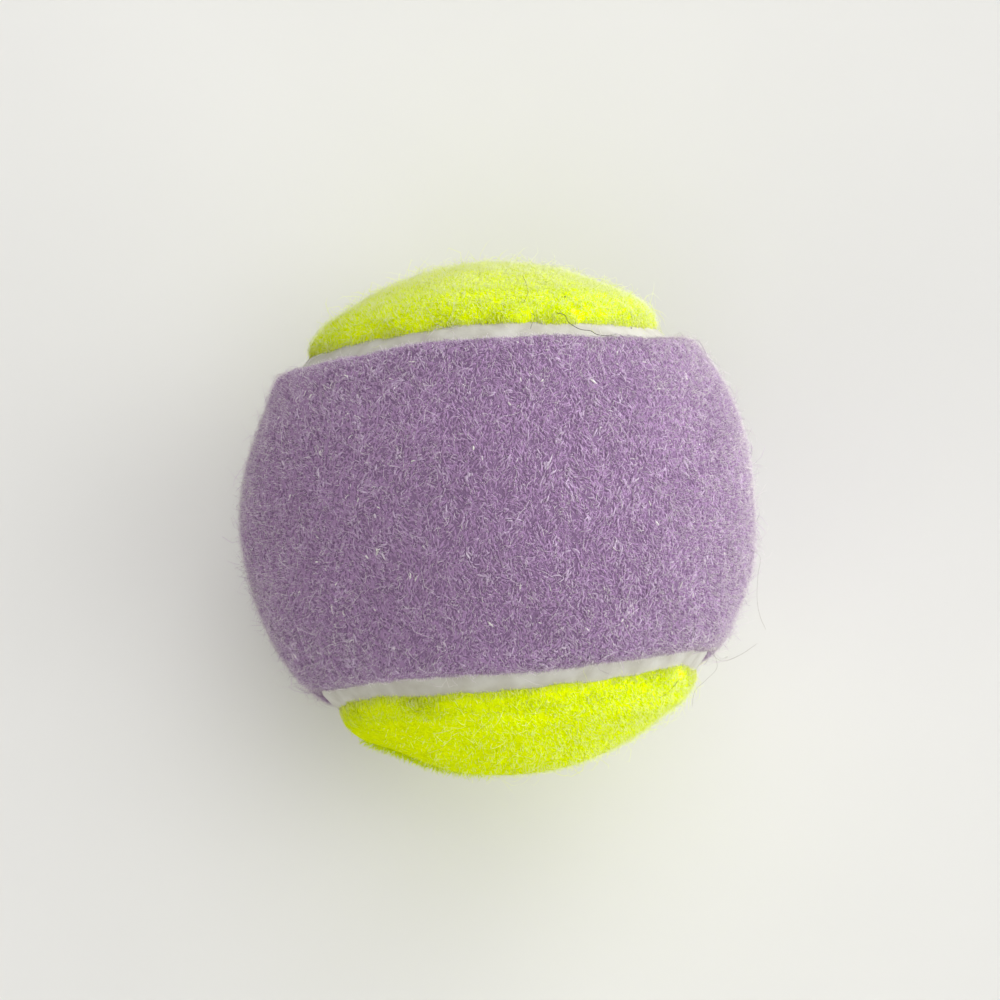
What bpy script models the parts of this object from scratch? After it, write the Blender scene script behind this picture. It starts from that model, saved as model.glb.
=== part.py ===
"""Two-tone felt-covered tennis ball for dogs, built up the way such a ball is made.

Two moulded rubber cups bonded rim to rim make the hollow core. Two identical
dumbbell-shaped felt panels, each with a coat of rubber solution on its back,
wrap the core and interlock. A ribbon of white seam rubber lies in the channel
that is left between their edges, a little below the felt.

Metres, +Z up, origin at the centre of the ball. The neck of the purple panel
lies across the top and its lobes wrap down the +X and -X sides. The yellow
panel is the same cut piece, turned half round the line between +X and +Y, so
its neck lies across the bottom and its lobes wrap up the +Y and -Y sides.
"""

import math
from bisect import bisect_left

import bmesh
import bpy
from mathutils import Quaternion, Vector

# Driving dimensions, in metres
BALL_DIAMETER = 0.0667
FELT_THICKNESS = 0.0031
FELT_EDGE_ROUND = 0.0014
COAT_THICKNESS = 0.0003
CORE_WALL = 0.0037
RIM_BOND_THICKNESS = 0.0003
SEAM_WIDTH = 0.0021
SEAM_RECESS = 0.0014
SEAM_CROWN = 0.0002

# A panel's narrow part, from seam centre to seam centre along the felt's face
NECK_WIDTH = 0.0440

# Share of the seam's path that swings three times a turn and swells the lobes
LOBE_SWELL = 0.305

# Clearance between two pieces that are bonded to each other
SEATED_GAP = 0.0003

# Facets: steps once round the seam, rows from a panel's edge to its middle,
# steps in the rounded edge of the felt, and steps and rings of the core
SEAM_STEPS = 80
PANEL_ROWS = 5
ROUND_STEPS = 3
CORE_STEPS = 40
CORE_RINGS = 8

# Fine steps that measure the seam's length, and the step that finds its slope
MEASURE_STEPS = 4000
SLOPE_STEP = 1e-4

# Distance under which two vertices of a turned piece are the same one
MERGE_DISTANCE = 1e-6

# Angle between faces above which an edge is left sharp
SHARP_ANGLE = math.radians(50)

# The layers from the outside in
FELT_OUTER = BALL_DIAMETER / 2
FELT_INNER = FELT_OUTER - FELT_THICKNESS
COAT_OUTER = FELT_INNER - SEATED_GAP
COAT_INNER = COAT_OUTER - COAT_THICKNESS
CORE_OUTER = COAT_INNER - SEATED_GAP
CORE_INNER = CORE_OUTER - CORE_WALL

# The rims of the two cups stand this far above and below the middle of the ball
RIM_HEIGHT = RIM_BOND_THICKNESS / 2 + SEATED_GAP

# The edge of every layer that ends at the ribbon, from the seam's centre line
PANEL_EDGE = SEAM_WIDTH / 2 + SEATED_GAP
RIBBON_FACE = FELT_OUTER - SEAM_RECESS

# The seam as harmonics of one turn. The neck sets how far it swings up and down
HALF_NECK = NECK_WIDTH / FELT_OUTER / 2
SEAM_MAIN = 1 - LOBE_SWELL
SEAM_RISE = (SEAM_MAIN - LOBE_SWELL) / math.tan(HALF_NECK)

# The centre line of a panel starts in the middle of its lobe, which is as far
# from the lobe's tip as from its sides: an eighth of a turn
HALF_LOBE = math.pi / 4
SPINE_START = HALF_NECK - math.pi / 2 + HALF_LOBE

# Axis of the half turn that carries the purple panel onto the yellow one
SWAP_AXIS = Vector((1, 1, 0)).normalized()

# Colour as linear RGB, and roughness
PURPLE_FELT = ((0.262, 0.176, 0.330), 0.95)
YELLOW_FELT = ((0.640, 0.830, 0.012), 0.95)
SEAM_RUBBER = ((0.680, 0.660, 0.610), 0.60)
CORE_RUBBER = ((0.035, 0.034, 0.033), 0.55)
RUBBER_SOLUTION = ((0.420, 0.330, 0.200), 0.45)


def clear_scene():
    """Remove every object of the scene."""
    for obj in list(bpy.data.objects):
        bpy.data.objects.remove(obj, do_unlink=True)


def make_material(name, finish):
    """Return a Principled material of one colour and roughness."""
    colour, roughness = finish
    material = bpy.data.materials.new(name)
    material.use_nodes = True
    shader = material.node_tree.nodes["Principled BSDF"]
    shader.inputs["Base Color"].default_value = (*colour, 1.0)
    shader.inputs["Roughness"].default_value = roughness
    shader.inputs["Metallic"].default_value = 0.0
    material.diffuse_color = (*colour, 1.0)
    return material


def add_object(name, bm, material):
    """Turn a bmesh into a smooth-shaded object of the scene."""
    bmesh.ops.recalc_face_normals(bm, faces=bm.faces)
    mesh = bpy.data.meshes.new(name)
    bm.to_mesh(mesh)
    bm.free()
    mesh.shade_smooth()
    mesh.set_sharp_from_angle(angle=SHARP_ANGLE)
    mesh.materials.append(material)
    obj = bpy.data.objects.new(name, mesh)
    bpy.context.scene.collection.objects.link(obj)
    return obj


# The seam

def seam_direction(turn):
    """Return the direction of the seam's centre line from the ball's centre."""
    return Vector((
        SEAM_MAIN * math.cos(turn) - LOBE_SWELL * math.cos(3 * turn),
        SEAM_MAIN * math.sin(turn) + LOBE_SWELL * math.sin(3 * turn),
        -SEAM_RISE * math.cos(2 * turn),
    )).normalized()


def into_purple(turn):
    """Return the direction across the seam, from its centre into the purple panel."""
    ahead = seam_direction(turn + SLOPE_STEP)
    behind = seam_direction(turn - SLOPE_STEP)
    return seam_direction(turn).cross(ahead - behind).normalized()


def seam_turns(count):
    """Return the turns of points that lie evenly along the seam, from a lobe's tip."""
    fine = [math.tau * k / MEASURE_STEPS for k in range(MEASURE_STEPS + 1)]
    lengths = [0.0]
    for start, end in zip(fine, fine[1:]):
        lengths.append(lengths[-1] + seam_direction(start).angle(seam_direction(end)))
    turns = []
    for step in range(count):
        goal = lengths[-1] * step / count
        k = max(bisect_left(lengths, goal), 1)
        part = (goal - lengths[k - 1]) / (lengths[k] - lengths[k - 1])
        turns.append(fine[k - 1] + part * (fine[k] - fine[k - 1]))
    return turns


def beside_seam(turn, inset, radius):
    """Return the direction of a point that lies at an inset from the seam's centre.

    The inset is measured along the sphere of the given radius, into the purple panel.
    """
    angle = inset / radius
    return math.cos(angle) * seam_direction(turn) + math.sin(angle) * into_purple(turn)


# The panels

def spine_direction(share):
    """Return a direction on the panel's centre line, from one lobe's middle to the other's."""
    angle = SPINE_START + share * (math.pi - 2 * SPINE_START)
    return Vector((math.cos(angle), 0, math.sin(angle)))


def spine_index(step):
    """Return which point of the centre line a step round the seam leads to."""
    return min(step, SEAM_STEPS - step)


def face_rings(turns, inset, radius):
    """Return rings of points over one face of a panel, from its edge inwards.

    The last ring stops one row short of the centre line, which closes the face.
    """
    rings = []
    for row in range(PANEL_ROWS):
        ring = []
        for step, turn in enumerate(turns):
            edge = beside_seam(turn, inset, radius)
            middle = spine_direction(spine_index(step) / (SEAM_STEPS // 2))
            ring.append(edge.slerp(middle, row / PANEL_ROWS) * radius)
        rings.append(ring)
    return rings


def rounded_edge_rings(turns, outer, rounding):
    """Return rings round the outer corner of a panel's edge, from its side to its face."""
    rings = []
    for step in range(ROUND_STEPS):
        angle = math.pi / 2 * step / ROUND_STEPS
        inset = PANEL_EDGE + rounding * (1 - math.cos(angle))
        radius = outer - rounding * (1 - math.sin(angle))
        rings.append([beside_seam(turn, inset, radius) * radius for turn in turns])
    return rings


def panel_layer(name, inner, outer, rounding, material):
    """Build one layer of the purple panel between two radii, as a closed solid."""
    turns = seam_turns(SEAM_STEPS)
    inner_rings = face_rings(turns, PANEL_EDGE, inner)
    outer_rings = face_rings(turns, PANEL_EDGE + rounding, outer)
    corner_rings = rounded_edge_rings(turns, outer, rounding) if rounding else []
    bm = bmesh.new()
    rings = []
    for points in inner_rings[::-1] + corner_rings + outer_rings:
        rings.append([bm.verts.new(point) for point in points])
    for ring, following in zip(rings, rings[1:]):
        for step in range(SEAM_STEPS):
            after = (step + 1) % SEAM_STEPS
            bm.faces.new((ring[step], ring[after], following[after], following[step]))
    half = SEAM_STEPS // 2
    for ring, radius in ((rings[0], inner), (rings[-1], outer)):
        spine = [bm.verts.new(spine_direction(k / half) * radius) for k in range(half + 1)]
        for step in range(SEAM_STEPS):
            after = (step + 1) % SEAM_STEPS
            near = spine[spine_index(step)]
            far = spine[spine_index(step + 1)]
            bm.faces.new((ring[step], ring[after], far, near))
    return add_object(name, bm, material)


def turn_to_yellow(obj):
    """Turn a layer of the purple panel into its place on the yellow side."""
    obj.rotation_mode = "QUATERNION"
    obj.rotation_quaternion = Quaternion(SWAP_AXIS, math.pi)


def build_panels():
    """Build both felt panels and the coats of rubber solution on their backs."""
    solution = make_material("rubber_solution", RUBBER_SOLUTION)
    felts = (("purple", PURPLE_FELT), ("yellow", YELLOW_FELT))
    for colour, finish in felts:
        felt = make_material(f"{colour}_felt", finish)
        panel = panel_layer(
            f"{colour}_felt_panel", FELT_INNER, FELT_OUTER, FELT_EDGE_ROUND, felt)
        coat = panel_layer(f"{colour}_panel_coat", COAT_INNER, COAT_OUTER, 0, solution)
        if colour == "yellow":
            turn_to_yellow(panel)
            turn_to_yellow(coat)


# The seam ribbon

def ribbon_section():
    """Return the ribbon's section as insets and radii, once round, with a crowned face."""
    side = SEAM_WIDTH / 2
    section = [(side, COAT_INNER), (-side, COAT_INNER)]
    for share in (-1.0, -0.5, 0.0, 0.5, 1.0):
        section.append((share * side, RIBBON_FACE + SEAM_CROWN * (1 - share * share)))
    return section


def build_seam_ribbon():
    """Sweep the ribbon's section once round the seam."""
    turns = seam_turns(SEAM_STEPS)
    section = ribbon_section()
    bm = bmesh.new()
    loops = []
    for turn in turns:
        loops.append([
            bm.verts.new(beside_seam(turn, inset, radius) * radius)
            for inset, radius in section
        ])
    for step, loop in enumerate(loops):
        following = loops[(step + 1) % SEAM_STEPS]
        for k in range(len(section)):
            m = (k + 1) % len(section)
            bm.faces.new((loop[k], loop[m], following[m], following[k]))
    return add_object("seam_ribbon", bm, make_material("seam_rubber", SEAM_RUBBER))


# The core

def turned_solid(name, profile, closed, material):
    """Turn a profile of (radius, height) points once round the Z axis."""
    bm = bmesh.new()
    verts = [bm.verts.new((radius, 0, height)) for radius, height in profile]
    pairs = list(zip(verts, verts[1:]))
    if closed:
        pairs.append((verts[-1], verts[0]))
    edges = [bm.edges.new(pair) for pair in pairs]
    bmesh.ops.spin(
        bm, geom=verts + edges, cent=(0, 0, 0), axis=(0, 0, 1),
        angle=math.tau, steps=CORE_STEPS)
    bmesh.ops.remove_doubles(bm, verts=bm.verts, dist=MERGE_DISTANCE)
    return add_object(name, bm, material)


def cup_arc(radius):
    """Return points from the cup's rim to its pole along a sphere of one radius."""
    start = math.asin(RIM_HEIGHT / radius)
    points = []
    for ring in range(CORE_RINGS + 1):
        angle = start + (math.pi / 2 - start) * ring / CORE_RINGS
        points.append((radius * math.cos(angle), radius * math.sin(angle)))
    return points


def build_core():
    """Build the two rubber cups and the ring of cement between their rims."""
    rubber = make_material("core_rubber", CORE_RUBBER)
    cup_profile = cup_arc(CORE_OUTER)[::-1] + cup_arc(CORE_INNER)
    turned_solid("core_half_upper", cup_profile, False, rubber)
    lower = turned_solid("core_half_lower", cup_profile, False, rubber)
    lower.rotation_euler = (math.pi, 0, 0)

    cement = make_material("rim_cement", RUBBER_SOLUTION)
    half_bond = RIM_BOND_THICKNESS / 2
    rim_outer = cup_arc(CORE_OUTER)[0][0]
    rim_inner = cup_arc(CORE_INNER)[0][0]
    bond_profile = [
        (rim_outer, -half_bond), (rim_outer, half_bond),
        (rim_inner, half_bond), (rim_inner, -half_bond),
    ]
    turned_solid("core_rim_bond", bond_profile, True, cement)


clear_scene()
build_core()
build_panels()
build_seam_ribbon()
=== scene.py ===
"""Looks of a two-tone tennis ball: napped felt panels, the seam rubber and a plain studio.

Everything is in metres, with the ball's centre at the origin. The neck of the purple
panel lies across the top, +Z, and its lobes wrap down the +X and -X sides. The yellow
panel is the same cut piece, turned half round the line between +X and +Y. So every
felt piece is made where the purple panel lies, and a yellow one is turned at the end.

Each felt panel is a dense ground with a rolled edge. Its nap stands on that ground as
single closed fibres: most lie flat in short curves, some arch up as loops, and some
end free and make the faint fuzz that shows against the floor.
"""

import logging
import math
from dataclasses import dataclass, replace
from enum import Enum

import bmesh
import bpy
import numpy as np
from mathutils import Matrix, Vector


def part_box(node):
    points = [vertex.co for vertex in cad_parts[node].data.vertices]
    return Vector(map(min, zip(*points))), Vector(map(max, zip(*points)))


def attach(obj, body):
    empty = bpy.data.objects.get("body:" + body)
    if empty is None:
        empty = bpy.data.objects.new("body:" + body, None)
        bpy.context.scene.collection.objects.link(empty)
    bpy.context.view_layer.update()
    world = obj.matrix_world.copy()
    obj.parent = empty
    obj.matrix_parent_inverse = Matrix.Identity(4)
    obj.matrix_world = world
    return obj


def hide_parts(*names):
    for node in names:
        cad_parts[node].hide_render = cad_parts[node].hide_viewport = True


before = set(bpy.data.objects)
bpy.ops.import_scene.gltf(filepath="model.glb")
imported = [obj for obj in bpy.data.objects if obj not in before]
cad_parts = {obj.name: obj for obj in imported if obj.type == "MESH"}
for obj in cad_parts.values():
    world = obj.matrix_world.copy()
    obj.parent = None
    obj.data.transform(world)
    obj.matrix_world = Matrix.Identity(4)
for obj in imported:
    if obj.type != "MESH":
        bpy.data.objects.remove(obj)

log = logging.getLogger("tennis_ball")

BODY = "root"
BALL_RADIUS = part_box("purple_felt_panel")[1][2]
MM = 0.001
WELD = 1e-6
NO_TRIS = np.empty((0, 3), int)
Colour = tuple[float, float, float]
Triple = tuple[float, float, float]
Span = tuple[float, float]
Object = bpy.types.Object
Material = bpy.types.Material
Socket = bpy.types.NodeSocket


def unit(vectors: np.ndarray) -> np.ndarray:
    """Scale each row to length one."""
    return vectors / np.linalg.norm(vectors, axis=-1, keepdims=True)


def node_radii(node: str) -> Span:
    """Read the inner and outer radius of a packed layer of the ball.

    Args:
        node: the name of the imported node.

    Returns:
        The least and the greatest distance of its vertices from the ball's centre.
    """
    mesh = bpy.data.objects[node].data
    points = np.empty(3 * len(mesh.vertices), np.float32)
    mesh.vertices.foreach_get("co", points)
    lengths = np.linalg.norm(points.reshape(-1, 3), axis=1)
    return float(lengths.min()), float(lengths.max())


def mesh_object(name: str, points: np.ndarray, quads: np.ndarray, tris: np.ndarray = NO_TRIS) -> Object:
    """Make a smooth-shaded mesh object from arrays.

    Args:
        name: the object's name.
        points: vertices, one row each.
        quads: faces of four vertices, one row of indices each.
        tris: faces of three vertices, one row of indices each.

    Returns:
        The new object, linked to the scene.
    """
    mesh = bpy.data.meshes.new(name)
    mesh.vertices.add(len(points))
    mesh.vertices.foreach_set("co", np.ascontiguousarray(points, np.float32).ravel())
    corners = np.concatenate([quads.ravel(), tris.ravel()]).astype(np.int32)
    mesh.loops.add(len(corners))
    mesh.loops.foreach_set("vertex_index", corners)
    starts = np.concatenate([4 * np.arange(len(quads)), quads.size + 3 * np.arange(len(tris))])
    mesh.polygons.add(len(starts))
    mesh.polygons.foreach_set("loop_start", starts.astype(np.int32))
    mesh.update(calc_edges=True)
    mesh.shade_smooth()
    obj = bpy.data.objects.new(name, mesh)
    bpy.context.scene.collection.objects.link(obj)
    return obj


def grid_quads(rings: int, steps: int) -> np.ndarray:
    """Index the faces between rings of vertices that each close on themselves.

    Args:
        rings: how many rings there are.
        steps: how many vertices each ring has.

    Returns:
        One row of four indices for each face.
    """
    ring, step = np.meshgrid(np.arange(rings - 1), np.arange(steps), indexing="ij")
    near, far = ring * steps, (ring + 1) * steps
    after = (step + 1) % steps
    return np.stack((near + step, near + after, far + after, far + step), axis=-1).reshape(-1, 4)


def weld(obj: Object) -> None:
    """Close a mesh where its first and last rings fold shut or meet.

    Args:
        obj: the object to close.
    """
    work = bmesh.new()
    work.from_mesh(obj.data)
    bmesh.ops.remove_doubles(work, verts=work.verts, dist=WELD)
    bmesh.ops.recalc_face_normals(work, faces=work.faces)
    work.to_mesh(obj.data)
    work.free()
    obj.data.shade_smooth()


class Felt(Enum):
    """The two felts of the ball, each with the name of a material slot."""

    PURPLE = "purple"
    YELLOW = "yellow"

    @property
    def slot(self) -> str:
        """The name of its material slot."""
        return f"{self.value}_felt"

    def place(self, points: np.ndarray) -> np.ndarray:
        """Carry points made on the purple panel to this felt's own panel, or back.

        Args:
            points: points or directions, one row each.

        Returns:
            The same ones for purple, and turned half round for yellow.
        """
        if self is Felt.PURPLE:
            return points
        return points[..., [1, 0, 2]] * np.array([1.0, 1.0, -1.0])


class Shader:
    """A material's node tree, with short ways to add what the finishes share."""

    def __init__(self, name: str) -> None:
        """Start a Principled material.

        Args:
            name: the material's name.
        """
        self.material = bpy.data.materials.new(name)
        self.material.use_nodes = True
        self.tree = self.material.node_tree
        self.principled = self.tree.nodes["Principled BSDF"]
        self.place = self.tree.nodes.new("ShaderNodeTexCoord").outputs["Object"]

    def set(self, **values: float | tuple[float, ...]) -> None:
        """Set constant values on the shader, with _ for the spaces of a socket's name."""
        for name, value in values.items():
            self.principled.inputs[name.replace("_", " ")].default_value = value

    def link(self, output: Socket, socket: str) -> None:
        """Join an output to one of the shader's sockets."""
        self.tree.links.new(output, self.principled.inputs[socket])

    def noise(self, size: float, detail: float = 2.0, stretch: Triple = (1.0, 1.0, 1.0)) -> Socket:
        """Add cloudy noise.

        Args:
            size: the size of a cloud.
            detail: how many finer layers it has.
            stretch: how much longer a cloud is along each axis.

        Returns:
            The noise, from 0 to 1.
        """
        mapping = self.tree.nodes.new("ShaderNodeMapping")
        mapping.inputs["Scale"].default_value = [1 / s for s in stretch]
        self.tree.links.new(self.place, mapping.inputs["Vector"])
        node = self.tree.nodes.new("ShaderNodeTexNoise")
        node.inputs["Scale"].default_value = 1 / size
        node.inputs["Detail"].default_value = detail
        self.tree.links.new(mapping.outputs["Vector"], node.inputs["Vector"])
        return node.outputs["Fac"]

    def attribute(self, name: str) -> Socket:
        """Read a number that the mesh carries.

        Args:
            name: the mesh attribute's name.

        Returns:
            The number.
        """
        node = self.tree.nodes.new("ShaderNodeAttribute")
        node.attribute_name = name
        return node.outputs["Fac"]

    def ramp(self, value: Socket, stops: list[tuple[float, Colour]]) -> Socket:
        """Turn a number into a colour.

        Args:
            value: the number, from 0 to 1.
            stops: each stop's place and its linear colour.

        Returns:
            The colour.
        """
        node = self.tree.nodes.new("ShaderNodeValToRGB")
        elements = node.color_ramp.elements
        while len(elements) < len(stops):
            elements.new(1.0)
        for element, (place, colour) in zip(elements, stops):
            element.position = place
            element.color = (*colour, 1.0)
        self.tree.links.new(value, node.inputs["Fac"])
        return node.outputs["Color"]

    def between(self, value: Socket, span: Span) -> Socket:
        """Stretch a number to a span.

        Args:
            value: the number, from 0 to 1.
            span: what it becomes at 0 and at 1.

        Returns:
            The stretched number.
        """
        low, high = span
        node = self.tree.nodes.new("ShaderNodeMath")
        node.operation = "MULTIPLY_ADD"
        self.tree.links.new(value, node.inputs[0])
        node.inputs[1].default_value = high - low
        node.inputs[2].default_value = low
        return node.outputs["Value"]

    def dye(self, colour: Socket, cloud: float, span: Span) -> Socket:
        """Make a colour uneven, darker and lighter in soft clouds.

        Args:
            colour: the colour to change.
            cloud: the size of a cloud.
            span: what the colour is multiplied by where it is darkest and lightest.

        Returns:
            The uneven colour.
        """
        node = self.tree.nodes.new("ShaderNodeMix")
        node.data_type = "RGBA"
        node.blend_type = "MULTIPLY"
        node.inputs["Factor"].default_value = 1.0
        first, second = [s for s in node.inputs if s.type == "RGBA"]
        low, high = span
        tint = self.ramp(self.noise(cloud), [(0.0, (low, low, low)), (1.0, (high, high, high))])
        self.tree.links.new(colour, first)
        self.tree.links.new(tint, second)
        return next(s for s in node.outputs if s.type == "RGBA")

    def bump(self, height: Socket, depth: float) -> None:
        """Give the surface a fine relief.

        Args:
            height: the relief, from 0 to 1.
            depth: its full depth.
        """
        node = self.tree.nodes.new("ShaderNodeBump")
        node.inputs["Distance"].default_value = depth
        self.tree.links.new(height, node.inputs["Height"])
        self.link(node.outputs["Normal"], "Normal")


@dataclass(frozen=True)
class FeltFinish:
    """Dyed wool and nylon felt, as the ground and as single fibres.

    Attributes:
        ground: linear colour of the dense ground, darker than most fibres as painted shade under the nap.
        deep: the darkest fibres.
        middle: most fibres.
        pale: the palest fibres, from paler dye at random, and the colour of the painted glinting fibres
            and of the painted sheen.
        fuzz: the thin worn fibres that stand free of the nap, paler than the dye: partly their own colour,
            partly painted sheen.
        roughness: of a fibre.
        specular: how strongly the felt mirrors the light.
    """

    ground: Colour
    deep: Colour
    middle: Colour
    pale: Colour
    fuzz: Colour
    roughness: float
    specular: float

    # The ground: its roughness, how much paler its high parts are than its painted shade, and its matted
    # relief.
    GROUND_ROUGHNESS = 0.9
    PALER = 1.15
    MATTED = 0.35 * MM
    MATTED_STRETCH = (1.0, 2.5, 1.0)
    MATTED_DEPTH = 0.12 * MM
    # The size of the dye's clouds.
    CLOUD = 6 * MM
    # Where a fibre's shade takes each colour, in the nap and in the fuzz above it.
    NAP_STOPS = (0.0, 0.4, 0.6, 0.85, 1.0)
    FREE_STOPS = (0.0, 0.25, 0.6, 0.9)

    def ground_material(self, name: str) -> Material:
        """Make the material of the matted ground under the nap.

        Args:
            name: the material's name.

        Returns:
            A matt material with fine matted relief, uneven dye and painted shade that is paler on the high
            parts.
        """
        shader = Shader(name)
        matted = shader.noise(self.MATTED, 3.0, self.MATTED_STRETCH)
        paler = tuple(min(1.0, self.PALER * part) for part in self.ground)
        # The ground colour is painted shade under the nap, paler on the high parts of the matted relief.
        colour = shader.ramp(matted, [(0.3, self.ground), (0.7, paler)])
        shader.link(shader.dye(colour, self.CLOUD, (0.9, 1.08)), "Base Color")
        shader.bump(matted, self.MATTED_DEPTH)
        shader.set(Roughness=self.GROUND_ROUGHNESS, Specular_IOR_Level=self.specular)
        return shader.material

    def fibre_material(self, name: str, free: bool) -> Material:
        """Make the material of the fibres, each with its own shade of the dye.

        Args:
            name: the material's name.
            free: whether they stand free of the nap, where the dye is paler: partly worn, partly painted
                sheen.

        Returns:
            A material that reads the fibre's shade from the mesh.
        """
        stops = zip(self.NAP_STOPS, (self.deep, self.middle, self.middle, self.pale, self.fuzz))
        if free:
            stops = zip(self.FREE_STOPS, (self.deep, self.middle, self.pale, self.fuzz))
        shader = Shader(name)
        colour = shader.ramp(shader.attribute(Nap.SHADE), list(stops))
        shader.link(shader.dye(colour, self.CLOUD, (0.92, 1.06)), "Base Color")
        shader.set(Roughness=self.roughness, Specular_IOR_Level=self.specular)
        return shader.material


@dataclass(frozen=True)
class RubberFinish:
    """Rubber or dried rubber solution.

    Attributes:
        dark: linear colour of the darker, stained patches.
        light: linear colour of the clean parts.
        cloud: size of its uneven patches.
        grain: size of its fine grain.
        relief: depth of the grain.
        roughness: least and greatest roughness.
    """

    dark: Colour
    light: Colour
    cloud: float
    grain: float
    relief: float
    roughness: Span

    def material(self, name: str) -> Material:
        """Make the material.

        Args:
            name: the material's name.

        Returns:
            A material with patches in its colour and roughness, and a fine grain.
        """
        shader = Shader(name)
        patches = shader.noise(self.cloud, 4.0)
        shader.link(shader.ramp(patches, [(0.3, self.dark), (0.65, self.light)]), "Base Color")
        shader.link(shader.between(patches, self.roughness), "Roughness")
        shader.bump(shader.noise(self.grain, 3.0), self.relief)
        return shader.material


# Each ground colour is darker than the fibres' middle colour: painted shade under the nap.
PURPLE_FINISH = FeltFinish(
    ground=(0.24, 0.15, 0.27), deep=(0.23, 0.14, 0.26), middle=(0.445, 0.287, 0.49),
    pale=(0.70, 0.57, 0.74), fuzz=(0.93, 0.90, 0.87), roughness=0.6, specular=0.2)
YELLOW_FINISH = FeltFinish(
    ground=(0.80, 0.98, 0.002), deep=(0.38, 0.44, 0.002), middle=(0.86, 1.0, 0.003),
    pale=(0.93, 1.0, 0.22), fuzz=(0.96, 1.0, 0.72), roughness=0.7, specular=0.0)
SEAM_FINISH = RubberFinish(
    dark=(0.47, 0.45, 0.39), light=(0.61, 0.60, 0.55), cloud=2.5 * MM, grain=0.25 * MM,
    relief=0.03 * MM, roughness=(0.5, 0.75))
CORE_FINISH = RubberFinish(
    dark=(0.028, 0.027, 0.026), light=(0.045, 0.043, 0.041), cloud=5 * MM, grain=0.3 * MM,
    relief=0.03 * MM, roughness=(0.45, 0.65))
SOLUTION_FINISH = RubberFinish(
    dark=(0.33, 0.24, 0.13), light=(0.47, 0.38, 0.24), cloud=4 * MM, grain=0.8 * MM,
    relief=0.05 * MM, roughness=(0.3, 0.6))


@dataclass(frozen=True)
class Stray:
    """A place where the hand-laid seam strays from its ideal line.

    Attributes:
        turn: where along the seam, in radians.
        reach: how far it reaches to each side of that, in radians.
        shift: how far it strays into the purple panel.
    """

    turn: float
    reach: float
    shift: float

    def turned(self) -> "Stray":
        """Give the same place as the yellow panel has it before it is turned."""
        return Stray(math.pi / 2 - self.turn, self.reach, -self.shift)


@dataclass(frozen=True)
class Trim:
    """A place where a panel's edge is cut back more than elsewhere.

    Attributes:
        turn: where along the seam, in radians.
        reach: how far it reaches to each side of that.
        depth: how far the edge is cut back there.
    """

    turn: float
    reach: float
    depth: float

    def turned(self) -> "Trim":
        """Give the same place as the yellow panel has it before it is turned."""
        return replace(self, turn=math.pi / 2 - self.turn)


@dataclass(frozen=True)
class Bump:
    """A place where a panel's felt stands higher, or lower, than its even face.

    Attributes:
        way: its direction from the ball's centre.
        reach: how far it reaches to each side of that.
        height: how far the felt rises there.
    """

    way: Triple
    reach: float
    height: float


STRAYS = (
    Stray(turn=math.radians(64), reach=0.14, shift=0.20 * MM),
    Stray(turn=math.radians(80), reach=0.14, shift=0.50 * MM),
    Stray(turn=math.radians(110), reach=0.16, shift=-0.60 * MM),
    Stray(turn=math.radians(240), reach=0.16, shift=-0.35 * MM),
    Stray(turn=math.radians(290), reach=0.12, shift=0.35 * MM),
    Stray(turn=math.radians(310), reach=0.25, shift=2.00 * MM),
)
PURPLE_TRIMS = (
    Trim(turn=math.radians(240), reach=4.0 * MM, depth=1.5 * MM),
    Trim(turn=math.radians(306), reach=3.5 * MM, depth=1.0 * MM),
)
YELLOW_TRIMS = (Trim(turn=math.radians(302), reach=4.5 * MM, depth=1.3 * MM),)
PURPLE_BUMPS = (
    Bump(way=(0.89, 0.42, 0.16), reach=9 * MM, height=0.85 * MM),
    Bump(way=(-0.73, 0.64, 0.24), reach=5 * MM, height=0.40 * MM),
    Bump(way=(-0.75, -0.65, 0.14), reach=5 * MM, height=-0.95 * MM),
    Bump(way=(0.785, -0.60, 0.16), reach=4.5 * MM, height=-0.55 * MM),
)
YELLOW_BUMPS = (
    Bump(way=(-0.43, -0.89, 0.14), reach=7 * MM, height=-0.45 * MM),
    Bump(way=(0.70, -0.70, 0.10), reach=6 * MM, height=-0.35 * MM),
)
# The middles of a row of patches of taller nap on the front of the yellow felt.
RIDGE = (
    (-0.20, -0.98, -0.07), (-0.28, -0.96, -0.05), (-0.37, -0.93, -0.03), (-0.45, -0.89, -0.01),
    (-0.53, -0.85, 0.01))


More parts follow.
